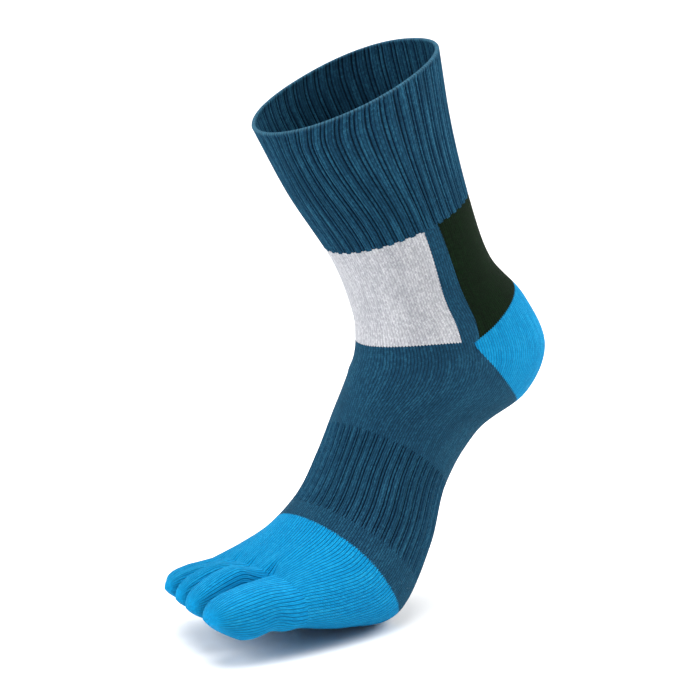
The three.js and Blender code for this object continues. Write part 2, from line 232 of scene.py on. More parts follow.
# %% Folds and dents
FOLD_COLUMNS = ("around", "place", "width", "length", "lean", "height")
FOLDS = np.array([
    [0.06, 5.15, 3.2, 16.0, 82.0, 0.45],
    [0.03, 5.75, 3.0, 18.0, 96.0, 0.4],
    [-0.05, 5.4, 3.2, 16.0, 92.0, 0.45],
    [0.17, 5.0, 3.0, 12.0, 55.0, 0.45],
    [0.185, 5.7, 3.2, 13.0, 25.0, -0.45],
    [0.225, 4.45, 3.5, 9.0, 80.0, -0.6],
    [-0.225, 4.45, 3.5, 9.0, 80.0, -0.6],
    [0.27, 5.1, 3.0, 12.0, 100.0, 0.35],
    [-0.18, 5.3, 3.2, 13.0, 30.0, 0.45],
    [0.12, 2.9, 12.0, 26.0, 10.0, 0.5],
    [-0.1, 3.1, 12.0, 26.0, 170.0, 0.5],
    [0.3, 7.1, 4.0, 18.0, 20.0, -0.4],
    [0.42, 7.4, 4.0, 16.0, 160.0, 0.4],
    [0.16, 8.9, 8.0, 22.0, 0.0, 0.4],
    [0.06, 10.9, 4.0, 14.0, 35.0, 0.35],
    [0.1, 0.75, 9.0, 30.0, 0.0, 0.4],
    [0.3, 1.05, 10.0, 32.0, 0.0, -0.5],
    [-0.16, 0.8, 10.0, 32.0, 0.0, 0.4],
])


def fold_height(around, place):
    """The sum of the folds, each one its height times a bell curve across it and another along it. The
    distances are in millimetres along the cloth, and lean turns a fold from the wales' direction."""
    total = np.zeros(np.broadcast(around, place).shape)
    girth = np.interp(place, np.linspace(0, WEBS, PLACES), GIRTH) * 1000
    for fold in FOLDS:
        spot = dict(zip(FOLD_COLUMNS, fold))
        sideways = ((around - spot["around"] + 0.5) % 1.0 - 0.5) * girth
        here = RUN[int(spot["place"] / WEBS * (PLACES - 1)), int(spot["around"] % 1.0 * ROUNDS)]
        lengthways = (read(RUN, around, place) - here) * 1000
        lean = radians(spot["lean"])
        across = sideways * np.cos(lean) + lengthways * np.sin(lean)
        along = lengthways * np.cos(lean) - sideways * np.sin(lean)
        hump = np.exp(-(across / spot["width"]) ** 2 - (along / spot["length"]) ** 2)
        total += spot["height"] * hump / 1000
    return total


# Between two toes the cloth dips before it parts. A row has the lane, which is the distance across the foot
# from its middle in foot widths, and the dip's half width and depth in millimetres.
WEB_DIPS = np.array([[-0.14, 2.8, 3.4], [0.04, 2.2, 1.2], [0.18, 2.0, 0.8], [0.3, 2.0, 0.6]])
DIP_START, DIP_GROWTH, DIP_SIDE_FADE = 11.4, 1.3, 0.04


def relief_of(around, place):
    """The folds, and the dips before the webs: bell curves across the foot that deepen towards the webs on
    the upper side of the foot."""
    total = fold_height(around, place)
    y = read(SKIN, around, place)[..., 1]
    upper = eased((0.25 - from_front(around)) / DIP_SIDE_FADE)
    nearing = eased((place - DIP_START) / (WEBS - DIP_START)) ** DIP_GROWTH
    for lane, half_width, depth in WEB_DIPS:
        across = (y - lane * FOOT_WIDTH) * 1000 / half_width
        total = total - depth / 1000 * np.exp(-across**2) * upper * nearing
    return total


print("folds:", len(FOLDS), "dips before the webs:", len(WEB_DIPS))

# %% [markdown]
# A piece of cloth is a wall with an outer side, an inner side and an edge. A ring piece is a grid whose rows
# go down the outer side and come back up the inner side, and it closes both ways. A patch closes along its
# two sides instead. The stitches follow the cloth, so each corner also gets a stitch address: the wale
# across and the course down, both counted from the rim.

# %% Cloth from a grid
COURSE = 0.00098


def quads_of(rows, columns, wrap_rows, wrap_columns):
    """The corners of all faces of a grid as row and column numbers, which run on past the last one."""
    r = np.arange(rows if wrap_rows else rows - 1)[:, None]
    c = np.arange(columns if wrap_columns else columns - 1)[None]
    r, c = np.broadcast_arrays(r, c)
    corner_rows = np.stack([r, r + 1, r + 1, r], -1).reshape(-1, 4)
    corner_columns = np.stack([c, c, c + 1, c + 1], -1).reshape(-1, 4)
    return corner_rows, corner_columns


def cloth_object(name, points, faces, stitches, crease=80):
    """A mesh from points, a list of face arrays and, for each, the stitch addresses of its corners."""
    mesh = bpy.data.meshes.new(name)
    corners = np.concatenate([f.ravel() for f in faces]).astype(np.int32)
    sides = np.concatenate([np.full(len(f), f.shape[1]) for f in faces])
    mesh.vertices.add(len(points))
    mesh.vertices.foreach_set("co", points.astype(np.float32).ravel())
    mesh.loops.add(len(corners))
    mesh.loops.foreach_set("vertex_index", corners)
    mesh.polygons.add(len(sides))
    mesh.polygons.foreach_set("loop_start", np.concatenate([[0], np.cumsum(sides)[:-1]]).astype(np.int32))
    mesh.polygons.foreach_set("use_smooth", np.ones(len(sides), bool))
    mesh.update(calc_edges=True)
    layer = mesh.uv_layers.new(name="stitches")
    address = np.concatenate([s.reshape(-1, 2) for s in stitches]).astype(np.float32)
    layer.data.foreach_set("uv", address.ravel())
    mesh.set_sharp_from_angle(angle=radians(crease))
    made = bpy.data.objects.new(name, mesh)
    bpy.context.collection.objects.link(made)
    print(name, "faces:", len(sides), "triangles:", int((sides - 2).sum()))
    return made


def raised(around, place, height):
    """Points over the surface: the surface plus the height times the direction that faces out."""
    return read(SKIN, around, place) + read(OUTWARD, around, place) * height[..., None]


def ring_grid(around, place, height, sway=None):
    """Points, faces and stitch addresses of a closed ring. around has one number for each column; place and
    height are rows by columns, and the rows come up the inner side and go down the outer side. A sway moves
    the cloth round the sock, and the stitches keep to their own column."""
    rows, columns = place.shape
    around = np.broadcast_to(around, place.shape)
    points = raised(sway(around, place) if sway else around, place, height)
    r, c = quads_of(rows, columns, True, True)
    faces = (r % rows) * columns + c % columns
    course = read(RUN, around, place)[r % rows, c % columns] / COURSE
    return points.reshape(-1, 3), faces, np.stack([c / columns * WALES, course], -1)


def ring_cloth(name, around, place, height, sway=None, crease=80):
    """A closed ring as an object."""
    points, faces, address = ring_grid(around, place, height, sway)
    return cloth_object(name, points, [faces], [address], crease)


print("course height in mm:", COURSE * 1000)

# %% [markdown]
# The cuff is a three-by-one rib: three wales stand out, and one lies back between two narrow furrows. The
# furrows are deep enough to catch shadow, so they are in the shape, not only in the shading. Near the rim
# the cloth is dragged forwards a little, which gives the ribs their soft bend.

# %% The rib's outline and the cuff's sway
RIBS = 42
# A row has the distance from the middle of the wale that lies back, as a share of the pitch, and the height
# there in millimetres.
RIB_OUTLINE = np.array([
    [0.0, -0.28], [0.0556, -0.34], [0.1111, -0.75], [0.1667, -1.0], [0.2222, -0.4], [0.2778, -0.1],
    [0.3333, -0.02], [0.3889, -0.12], [0.4444, -0.02], [0.5, 0.0],
])
SWAY_REACH, SWAY_PEAK, SWAY_FADE, FAR_SWAY = 0.023, 0.33, 1.3, 0.9


def off_furrow(around):
    """Distance from the nearest wale that lies back, as a share of a rib's pitch."""
    return np.abs((around * RIBS + 0.5) % 1.0 - 0.5)


def rib_height(around):
    """Height of the rib's outline: the table read at the distance from the wale that lies back."""
    return np.interp(off_furrow(around), RIB_OUTLINE[:, 0], RIB_OUTLINE[:, 1]) / 1000


def swayed(around, place):
    """The way round, shifted towards the front near the rim: on the big-toe side by a sine over the front
    quarter, and on the other side by a sine over the whole half. Down the cuff it grows from half at the
    rim by a quarter of a sine, and then fades by a smooth step, so the ribs bend without a kink."""
    side = around % 1.0
    near_pull = np.where(side < 0.25, np.sin(4 * pi * side), 0.0)
    pull = np.where(side < 0.5, near_pull, FAR_SWAY * np.sin(2 * pi * side))
    growing = 0.5 + 0.5 * np.sin(np.clip(place / SWAY_PEAK, 0, 1) * pi / 2)
    return around - SWAY_REACH * pull * growing * (1 - eased((place - SWAY_PEAK) / SWAY_FADE))


print("rib pitch at the rim in mm:", round(GIRTH[0] * 1000 / RIBS, 2))

# %% [markdown]
# The cuff grips the leg above the ankle. On a knitting machine it is the first part made, and its start is
# turned in once to give the rim a smooth round edge. Its outer side, rim and inner side are one grid of rows
# here, so the rim needs no seam.

# %% Cuff
CUFF_COLUMNS, CUFF_OUTSIDE, CUFF_INSIDE, WELT_ROWS = RIBS * 18, 78, 34, 7
ROW_CROWDING = 1.15  # rows stand closer together near the rim
RIB_TONGUE, TONGUE_SIDE, TONGUE_FADE = 0.012, 0.16, 0.08
WELT_ROUND, WELT_RISE, WELT_EXTRA = 1.12, 0.00011, 0.00022
WELT_END, NEAR_RIM = 0.001, 0.1  # the welt's depth in metres, and a place that is still close to the rim
RIB_START, RIB_GROWTH = 0.0006, 0.002  # metres from the rim to the ribs' start, and on to their full height
RIB_LOSS, RIB_LOSS_SPAN = 0.45, 0.09  # the ribs are lower by this share just above the cuff's end
CUFF_INNER_RIBS, BAND_INNER_RIBS = 0.8, 0.6  # how much of the ribs shows inside


def cuff_cloth():
    """The outer side runs from the lower edge up to the rim, rolls over it in a half circle as wide as the
    cloth is thick, and runs down inside. Each rib ends in a short tongue over the colour below. At the end
    the rows are turned round, as a ring wants them."""
    around = np.arange(CUFF_COLUMNS) / CUFF_COLUMNS
    tongue = RIB_TONGUE * eased((off_furrow(around) - TONGUE_SIDE) / TONGUE_FADE)
    end = crossing(CUFF_END)(around) + tongue
    per_metre = NEAR_RIM / read(RUN, around, np.full_like(around, NEAR_RIM))
    welt = 0.5 * CLOTH * WELT_ROUND
    top = welt * per_metre
    outer_place = blend(top, end, np.linspace(1, 0, CUFF_OUTSIDE)[:, None] ** ROW_CROWDING)
    turn = np.linspace(0, pi, WELT_ROWS + 2)[1:-1, None]
    welt_place = top * (1 - np.sin(turn))
    inner_place = blend(top, end, np.linspace(0, 1, CUFF_INSIDE)[:, None] ** ROW_CROWDING)
    place = np.concatenate([outer_place, welt_place, inner_place])
    from_rim = read(RUN, around, place)
    faded = 1 - RIB_LOSS * eased(1 - (end - place) / RIB_LOSS_SPAN)
    ribs = rib_height(around) * (eased((from_rim - RIB_START) / RIB_GROWTH) * faded)
    thick = CLOTH + WELT_EXTRA * (1 - eased((from_rim - WELT_END) / WELT_END))
    outside = np.arange(len(place))[:, None] < CUFF_OUTSIDE
    inside = np.arange(len(place))[:, None] >= CUFF_OUTSIDE + WELT_ROWS
    over_welt = np.concatenate([np.zeros((CUFF_OUTSIDE, 1)), turn, np.full((CUFF_INSIDE, 1), pi)])
    ribbed = np.where(outside, ribs, np.where(inside, -CUFF_INNER_RIBS * ribs, 0.0))
    height = WELT_RISE - thick * 0.5 * (1 - np.cos(over_welt)) + ribbed + relief_of(around, place)
    return around, place[::-1], height[::-1]


cuff = ring_cloth("cuff_knit", *cuff_cloth(), sway=swayed, crease=88)

# %% [markdown]
# The colour areas are knitted into the tube, so they lie flush with it. A patch is a grid between two sides
# and between two edges. Where two patches meet, both use the same side and the same steps down it, and each
# step moves the side a little to and fro, because a colour can only change from one stitch to the next.

# %% Patches of cloth
BLOCK_ROWS, HEEL_ROWS = 90, 78
FRONT_COLUMNS, BACK_COLUMNS, STRIP_COLUMNS = 126, 182, 14  # half wales at the lower edge
STITCH_STEP, BACK_BOW, TOOTH = 0.22, 0.008, 0.09


def toothed(around):
    """How far an edge across the wales is moved down: most at the middle of each wale."""
    off = np.abs((around * WALES) % 1.0 - 0.5)
    return (0.5 - off) * TOOTH


def bottom_edge(around):
    """The lower edge of the blocks and of the strip, with its teeth."""
    return block_bottom(around) + toothed(around)


def patch_cloth(around, place):
    """A closed patch from the way round and the place of each point: an outer grid, an inner grid below it,
    and strips that join them at the two sides and the two edges."""
    rows, columns = place.shape
    fold = relief_of(around, place)
    outer, inner = raised(around, place, fold), raised(around, place, fold - CLOTH)
    points = np.concatenate([outer, inner[::-1]])
    r, c = quads_of(2 * rows, columns, True, False)
    faces = (r % (2 * rows)) * columns + c
    address = np.stack([around * WALES, read(RUN, around, place) / COURSE], -1)
    address = np.concatenate([address, address[::-1]])
    down = np.arange(rows - 1)
    twin = 2 * rows - 1 - down
    left = np.stack([down + 1, down, twin, twin - 1], -1) * columns
    right = left[:, ::-1] + columns - 1
    flat = address.reshape(-1, 2)
    quads = np.concatenate([faces, left, right])
    return points.reshape(-1, 3), quads, flat[quads]


def joined(name, *patches):
    """One object from several patches."""
    shift = np.cumsum([0] + [len(p[0]) for p in patches[:-1]])
    points = np.concatenate([p[0] for p in patches])
    faces = np.concatenate([p[1] + s for p, s in zip(patches, shift)])
    return cloth_object(name, points, [faces], [np.concatenate([p[2] for p in patches])])


def side_of(ends, down, way):
    """A side between two colours: from its top to its bottom, with a step to and fro for each course."""
    step = np.where(np.arange(len(down)) % 2 == 0, 0.0, STITCH_STEP / WALES)
    step[0] = step[-1] = 0.0
    return blend(ends[0], ends[1], down) + way * step


def spread(left, right, columns):
    """The grid between two sides: the way round goes evenly from left to right, the place evenly down."""
    down = np.linspace(0, 1, len(left))[:, None]
    around = blend(left[:, None], right[:, None], np.linspace(0, 1, columns + 1)[None])
    return around, blend(crossing(CUFF_END)(around), bottom_edge(around), down)


DOWN = np.linspace(0, 1, BLOCK_ROWS)
FRONT_LINE = side_of(FRONT_SIDE, DOWN, 1)
BACK_LINE = side_of(BACK_SIDE, DOWN, -1) + BACK_BOW * np.sin(pi * DOWN)
front_block = joined("front_block_knit", patch_cloth(*spread(-FRONT_LINE, FRONT_LINE, FRONT_COLUMNS)))
back_block = joined("back_block_knit", patch_cloth(*spread(BACK_LINE, 1 - BACK_LINE, BACK_COLUMNS)))

# %% [markdown]
# The heel pocket is a cup that is knitted to and fro, with fewer stitches in each row towards its middle and
# then more again. That gives it a corner on each side and two curved edges, so it is one more patch here,
# spread between those edges.

# %% Heel pocket
HEEL_COLUMNS = 192


def heel_grid():
    """Columns at each half wale from corner to corner, and rows evenly from the upper to the lower edge."""
    around = CORNER[0] + np.arange(HEEL_COLUMNS + 1) * HALF_WALE
    around = np.broadcast_to(around, (HEEL_ROWS, HEEL_COLUMNS + 1))
    upper, lower = [heel_edge(end)(around) + toothed(around) for end in (UPPER, LOWER)]
    return around, blend(upper, lower, np.linspace(0, 1, HEEL_ROWS)[:, None])


heel_pocket = joined("heel_knit", patch_cloth(*heel_grid()))

# %% [markdown]
# The ankle is the ground that the colours are set into: a ring below the blocks and the heel, and a narrow
# strip on each side between the light block and the dark one. The arch band is ribbed like the cuff, and
# between them and the toes the cloth is plain.

# %% Ankle, arch band and the plain rings
def ring_rows(start, end, outside, inside, thickness, relief=None):
    """Place and height of a ring between two edges: rows up the inner side, then down the outer side."""
    up, down = np.linspace(1, 0, inside)[:, None], np.linspace(0, 1, outside)[:, None]
    place = blend(start, end, np.concatenate([up, down]))
    inner = np.arange(inside + outside)[:, None] < inside
    ribs = relief(place) if relief else np.zeros(place.shape)
    height = np.where(inner, -thickness - BAND_INNER_RIBS * ribs, ribs)
    return place, height + relief_of(ring_around(place), place)


def ring_around(place):
    """The way round of each column of a ring, in even steps from the middle of the front."""
    return np.broadcast_to(np.arange(place.shape[1]) / place.shape[1], place.shape)


HALF_WALES = np.arange(2 * WALES) * HALF_WALE
BAND_COLUMNS, BAND_FADE, BAND_LEAST = RIBS * 16, 0.1, 0.15


def strip_between(mirror):
    """The strip between the blocks on one side of the sock."""
    around, place = spread(FRONT_LINE, BACK_LINE, STRIP_COLUMNS)
    if mirror:
        return (1 - around)[:, ::-1], place[:, ::-1]
    return around, place


def ankle_ring():
    """The ring below the blocks, as one patch that closes on itself."""
    start, end = ankle_top(HALF_WALES) + toothed(HALF_WALES), crossing(ARCH_START)(HALF_WALES)
    place, height = ring_rows(start, end, outside=84, inside=36, thickness=CLOTH)
    return ring_grid(ring_around(place), place, height)


ankle = joined("ankle_knit", ankle_ring(), patch_cloth(*strip_between(False)),
               patch_cloth(*strip_between(True)))


def arch_cloth():
    """The arch band's ribs, faded out over the last few millimetres at both edges."""
    around = np.arange(BAND_COLUMNS) / BAND_COLUMNS
    start, end = crossing(ARCH_START)(around), crossing(ARCH_END)(around)

    def relief(place):
        inward = np.minimum(place - start, end - place)
        return rib_height(around) * eased(inward / BAND_FADE + BAND_LEAST)
    return (around, *ring_rows(start, end, outside=46, inside=20, thickness=CLOTH, relief=relief))


arch_band = ring_cloth("arch_band_knit", *arch_cloth(), crease=88)
blue_edge = crossing(TOES_START)(HALF_WALES) + toothed(HALF_WALES)
midfoot = ring_cloth("midfoot_knit", HALF_WALES, *ring_rows(
    crossing(ARCH_END)(HALF_WALES), blue_edge, outside=20, inside=10, thickness=CLOTH))
forefoot = ring_cloth("forefoot_knit", HALF_WALES, *ring_rows(
    blue_edge, crossing(TOES_ROOT)(HALF_WALES), outside=62, inside=26, thickness=TOE_CLOTH))

# %% [markdown]
# Each toe has a pocket of its own. It starts at the webs as a slice of the sock's last oval, so that the five
# slices fill the oval, and passes over into a round shape up to the knuckle. The sole side is hollow before
# the pad of the toe. The tips are rounded off by drawing the rows together towards one point. The wales of
# the blue cloth look wider than those of the leg, as if 132 went round the forefoot. On the toes they look
# wider still, as if 96 did.

# %% Toe pockets
TOE_COLUMNS = (
    "reach", "base_from", "base_to", "front_from", "front_to", "knuckle", "tip_top", "tip_bottom", "tip_rise",
    "side_power")
TOES = {
    "big_toe": (0.985, -0.49, -0.14, -0.47, -0.18, -0.868, -0.883, -0.955, 0.5, 2.6),
    "second_toe": (0.935, -0.14, 0.04, -0.155, 0.055, -0.857, -0.886, -0.946, 0.42, 3.0),
    "third_toe": (0.9, 0.04, 0.18, 0.055, 0.2, -0.864, -0.886, -0.944, 0.42, 3.0),
    "fourth_toe": (0.882, 0.18, 0.3, 0.2, 0.345, -0.876, -0.885, -0.94, 0.5, 3.2),
    "little_toe": (0.79, 0.3, 0.49, 0.345, 0.49, -0.888, -0.898, -0.938, 0.48, 2.8),
}
TOE_KNUCKLE, TOE_ROUNDING = 0.4, 0.65  # shares of the toe's length, as the next starts are too
DROP_START, DROP_SPAN = 0.35, 0.7
TIP_POWER, TOP_POWER = 2.6, 2.3
PAD_START, PAD_HOLLOW, TIP_SLANT = 0.62, 0.012, 0.8
TOE_ROUND, TOE_OUTSIDE, TOE_INSIDE = 112, 96, 40
FOREFOOT_FINE, TOE_FINE = 132 / WALES, 96 / WALES
FOOT_EDGE = 0.49  # the lane at the foot's own edge, where the first and the last toe end
WEB_STEPS, SLICE_STEPS, ROUND_STEPS = 4001, 300, 721
web_around = np.linspace(-0.25, 0.75, WEB_STEPS)
web_across = read(SKIN, web_around, np.full(WEB_STEPS, float(WEBS)))[:, 1] / FOOT_WIDTH


def around_at(lane, below):
    """How far round the last oval crosses a lane's line, on its upper or its lower half."""
    half = (web_around > 0.25) == below
    order = np.argsort(web_across[half])
    return float(np.interp(lane, web_across[half][order], web_around[half][order]))


def even_path(points, extra, columns):
    """A closed path shared out evenly by its length: the points, and the way round at each of them."""
    length = np.concatenate([[0], np.cumsum(np.linalg.norm(np.diff(points, axis=0), axis=-1))])
    wanted = np.arange(columns) / columns * length[-1]
    spots = np.stack([np.interp(wanted, length, points[:, k]) for k in range(3)], -1)
    return spots, np.interp(wanted, length, extra), length[-1]


def toe_root(toe, inset, columns):
    """The slice of the last oval between the toe's two lane lines: along its upper half, down the line on
    the big-toe side, back along its lower half and up the other line, in whose middle it starts."""
    last_lane, first_lane = toe["base_to"] >= FOOT_EDGE, toe["base_from"] <= -FOOT_EDGE
    upper = (-0.25 if last_lane else around_at(toe["base_to"], False),
             0.25 if first_lane else around_at(toe["base_from"], False))
    lower = (0.25 if first_lane else around_at(toe["base_from"], True),
             0.75 if last_lane else around_at(toe["base_to"], True))
    around = np.concatenate([np.linspace(*upper, SLICE_STEPS), np.linspace(*lower, SLICE_STEPS)])
    place = np.full(len(around), float(WEBS))
    skin = raised(around, place, relief_of(around, place) - inset)
    middle = (skin[0] + skin[-1]) / 2
    path = np.concatenate([middle[None], skin, middle[None]])
    return even_path(path, np.concatenate([[around[0]], around, [around[-1]]]), columns)


def toe_rows(toe, share, inset, columns):
    """Points of a pocket. The root's slice passes over into a round section, a superellipse over the lane's
    width and the toe's height, and beyond the knuckle the size falls to nothing at the tip."""
    root, around, girth = toe_root(toe, inset, columns)
    share = share[:, None]
    lane = share * toe["reach"]
    near = blend(toe["base_from"], toe["front_from"], lane) * FOOT_WIDTH + inset
    far = blend(toe["base_to"], toe["front_to"], lane) * FOOT_WIDTH - inset
    own = eased(share / TOE_KNUCKLE)
    knuckle = blend(toe["knuckle"], toe["tip_top"], eased((share - DROP_START) / DROP_SPAN))
    hollow = np.sin(pi * np.clip(share / PAD_START, 0, 1)) ** 2
    sole = blend(float(SECTIONS[WEBS, 3]), toe["tip_bottom"], eased(share)) + PAD_HOLLOW * hollow
    top, bottom = knuckle * SOCK_DROP - inset, sole * SOCK_DROP + inset
    turn = np.linspace(0, 2 * pi, ROUND_STEPS)
    unit = np.stack([power_of(np.cos(turn), 2 / toe["side_power"]), power_of(np.sin(turn), 2 / TOP_POWER),
                     0 * turn], -1)
    unit = even_path(unit, turn, columns)[0]
    y = blend(root[:, 1], blend(near, far, (unit[:, 0] + 1) / 2), own)
    z = blend(root[:, 2], blend(bottom, top, (unit[:, 1] + 1) / 2), own)
    past = np.maximum(share - TOE_ROUNDING, 0) / (1 - TOE_ROUNDING)
    size = np.maximum(1 - past ** TIP_POWER, 0) ** (1 / TIP_POWER)
    y = blend((near + far) / 2, y, size)
    z = blend(blend(bottom, top, toe["tip_rise"]), z, size)
    x = blend(root[:, 0], -toe["reach"] * TOE_REACH + inset, share)
    lowness = top - z - (1 - toe["tip_rise"]) * (top - bottom)
    x = x + TIP_SLANT * np.maximum(lowness, 0) * eased((share - PAD_START) / (1 - PAD_START))
    return np.stack([x, y, z], -1), around, girth


def toe_cloth(name, row):
    """A pocket: rows from the root to the tip outside, and back again inside, each side closed by a fan.
    Its stitches are counted on from the root, in whole wales round the pocket. Each row's girth, as a share
    of the widest row's, is kept as its fullness, because the wales have no room at the tip."""
    toe = dict(zip(TOE_COLUMNS, row))
    outer_share = np.sin(np.linspace(0, pi / 2, TOE_OUTSIDE + 1))
    inner_share = np.sin(np.linspace(0, pi / 2, TOE_INSIDE + 1))
    outer, around, girth = toe_rows(toe, outer_share, 0.0, TOE_ROUND)
    inner = toe_rows(toe, inner_share, TOE_CLOTH, TOE_ROUND)[0]
    tips = np.stack([outer[-1].mean(0), inner[-1].mean(0)])
    grid = np.concatenate([inner[:-1][::-1], outer[:-1]])
    rows = len(grid)
    r, c = quads_of(rows, TOE_ROUND, False, True)
    faces = r * TOE_ROUND + c % TOE_ROUND
    root_course = read(RUN, around, np.full(TOE_ROUND, float(WEBS))) / COURSE
    inner_steps, outer_steps = [np.linalg.norm(np.diff(side[:-1], axis=0, prepend=side[:1]), axis=-1) / COURSE
                                for side in (inner, outer)]
    course = np.concatenate([(root_course + np.cumsum(inner_steps, axis=0))[::-1],
                             root_course + np.cumsum(outer_steps, axis=0)])
    wales = round(girth / GIRTH[-1] * WALES * TOE_FINE) / TOE_FINE
    first_wale = around[0] * WALES
    address = np.stack([first_wale + wales * c / TOE_ROUND, course[r, c % TOE_ROUND]], -1)
    column = np.arange(TOE_ROUND)
    beyond = (column + 1) % TOE_ROUND
    last = (rows - 1) * TOE_ROUND
    outer_fan = np.stack([last + column, np.full(TOE_ROUND, rows * TOE_ROUND), last + beyond], -1)
    inner_fan = np.stack([beyond, np.full(TOE_ROUND, rows * TOE_ROUND + 1), column], -1)
    fan_wale = first_wale + wales * np.stack([column, column + 0.5, column + 1], -1) / TOE_ROUND
    end = course[-1]
    fan_course = np.stack([end, end + 1, end[beyond]], -1)
    fans = [np.stack([wale, fan_course], -1) for wale in (fan_wale, fan_wale[:, ::-1])]
    points = np.concatenate([grid.reshape(-1, 3), tips])
    made = cloth_object(name + "_knit", points, [faces, outer_fan, inner_fan], [address, *fans])
    row_girth = np.linalg.norm(grid - np.roll(grid, 1, 1), axis=-1).sum(1)
    fullness = np.append(np.repeat(row_girth / row_girth.max(), TOE_ROUND), [0.0, 0.0])
    layer = made.data.attributes.new("fullness", "FLOAT", "POINT")
    layer.data.foreach_set("value", fullness.astype(np.float32))
    return made


toes = {name: toe_cloth(name, row) for name, row in TOES.items()}

# %% [markdown]
# A material is a net of nodes, and its sums are easier to read as sums. This small class wraps one socket,
# so that wires can be added and multiplied as numbers are, and a recipe makes every other node.

# %% Shader sums
SHEEN_ROUGHNESS, SHINE = 0.45, 0.06


class Wire:
    """The output of a node. Sums of wires and numbers add Math nodes."""

    def __init__(self, recipe, socket):
        self.recipe, self.socket = recipe, socket

    def math(self, operation, *values):
        sockets = dict(enumerate(values))
        return self.recipe.node("ShaderNodeMath", {"operation": operation}, sockets)

    def __add__(self, other):
        return self.math("ADD", self, other)

    def __radd__(self, other):
        return self.math("ADD", other, self)

    def __sub__(self, other):
        return self.math("SUBTRACT", self, other)

    def __rsub__(self, other):
        return self.math("SUBTRACT", other, self)

    def __mul__(self, other):
        return self.math("MULTIPLY", self, other)

    def __rmul__(self, other):
        return self.math("MULTIPLY", other, self)

    def __truediv__(self, other):
        return self.math("DIVIDE", self, other)

    def __pow__(self, other):
        return self.math("POWER", self, other)

    def __abs__(self):
        return self.math("ABSOLUTE", self)

    def within(self):
        """The part after the point."""
        return self.math("FRACT", self)

    def whole(self):
        """The whole number below."""
        return self.math("FLOOR", self)

    def sine(self):
        return self.math("SINE", self)

    def kept(self, low, high):
        """Kept between two numbers."""
        return self.math("MINIMUM", self.math("MAXIMUM", self, low), high)


class Recipe:
    """One material and its nodes."""

    def __init__(self, name):
        self.material = bpy.data.materials.new(name)
        self.material.use_nodes = True
        self.tree = self.material.node_tree
        self.tree.nodes.clear()

    def node(self, kind, settings=None, sockets=None, out=0):
        """Adds a node: its settings first, then a value or a wire for each socket named or numbered."""
        made = self.tree.nodes.new(kind)
        for key, value in (settings or {}).items():
            setattr(made, key, value)
        for key, value in (sockets or {}).items():
            if isinstance(value, Wire):
                self.tree.links.new(value.socket, made.inputs[key])
            else:
                made.inputs[key].default_value = value
        return Wire(self, made.outputs[out])

    def noise(self, x, y, detail=1.0, roughness=0.5):
        """Smooth noise over two wires, which set how fine it is each way."""
        spot = self.node("ShaderNodeCombineXYZ", None, {0: x, 1: y})
        return self.node("ShaderNodeTexNoise", {"noise_dimensions": "2D"}, {
            "Vector": spot, "Scale": 1.0, "Detail": detail, "Roughness": roughness})

    def mix(self, share, first, second):
        """Two colours mixed by a share."""
        sockets = {0: share, 6: first, 7: second}
        return self.node("ShaderNodeMix", {"data_type": "RGBA", "clamp_factor": True}, sockets, 2)

    def shade(self, colour, factor):
        """A colour made lighter or darker by a factor."""
        grey = self.node("ShaderNodeCombineColor", None, {0: factor, 1: factor, 2: factor})
        settings = {"data_type": "RGBA", "blend_type": "MULTIPLY", "clamp_factor": True}
        return self.node("ShaderNodeMix", settings, {0: 1.0, 6: colour, 7: grey}, 2)

    def finish(self, colour, roughness, sheen, sheen_tint, relief, depth):
        """A cloth shader with a sheen, and the relief as a bump of a given depth."""
        bump = self.node("ShaderNodeBump", None, {"Strength": 1.0, "Distance": depth, "Height": relief})
        shader = self.node("ShaderNodeBsdfPrincipled", None, {
            "Base Color": colour, "Roughness": roughness, "Sheen Weight": sheen,
            "Sheen Roughness": SHEEN_ROUGHNESS, "Sheen Tint": sheen_tint, "Specular IOR Level": SHINE,
            "Normal": bump})
        output = self.tree.nodes.new("ShaderNodeOutputMaterial")
        self.tree.links.new(shader.socket, output.inputs["Surface"])
        return self.material


def yarn(shade_code):
    """A colour from its six-digit code, made linear: each part is raised to 2.4 after the usual offset."""
    parts = np.array([int(shade_code[i:i + 2], 16) for i in (0, 2, 4)]) / 255
    linear = np.where(parts <= 0.04045, parts / 12.92, ((parts + 0.055) / 1.055) ** 2.4)
    return (*(float(v) for v in linear), 1.0)


TEAL = ("0c283e", "1b4763", "387a9b")
BLUE = ("0471ae", "0894d1", "2ab1e5")
# The furrow colour is painted shade: a rib's furrows are mixed towards this dark navy.
FURROW_PAINTED_SHADE, WELT_SHADE = "04102c", "5c8ba0"
WHITE = (1.0, 1.0, 1.0, 1.0)
print("dark teal, linear:", [round(v, 3) for v in yarn(TEAL[0])])

# %% [markdown]
# Stockinette stitch is made of loops that look like small letters V, one column of them to a wale. Each leg
# of a V is a short round strand that leans outwards. The stitch address gives where a point lies in its
# stitch, and from that come the relief, painted shade in the gaps between the strands and along the lines
# between the wales, and a tone of its own for each stitch.

# %% Knitted yarn
WALE_GRAIN, PATCH_GRAIN, FIBRE_GRAIN = (1.37, 0.035), (0.08, 0.05), (6.0, 1.1)  # noise to a wale, a course
PATCH_SHARE, FIBRE_SHARE = 0.15, 0.2
STRAND_LOW, STRAND_RELIEF, WALE_GROOVE_RELIEF, FIBRE_RELIEF = 0.45, 0.6, 0.6, 0.18
LEG_LEAN = 1.15  # courses to one wale: how steeply the legs of a V lean
# The painted shade of the lines between the wales, spread evenly, takes their place where the wales fade out.
MEAN_WALE_GROOVE = 0.31  # the lines between the wales spread evenly, for cloth that shows none
THIN_GIRTH, FULL_SLOPE = 0.3, 3.0  # the fullness that shows no wales, and how fast they come back above it
BEADS, BEAD_FALL = 850.0, 1.1  # beads to a metre, and how much they fall off to their sides
# The rib's painted furrow shade: wales to a rib, where its furrows lie in it, and how wide and how sharp they
# are.
RIB_WALES, FURROW_AT, FURROW_WIDE, FURROW_SLOPE = 4.0, 0.158, 1.25, 14.0
WELT_COURSES = 1.2


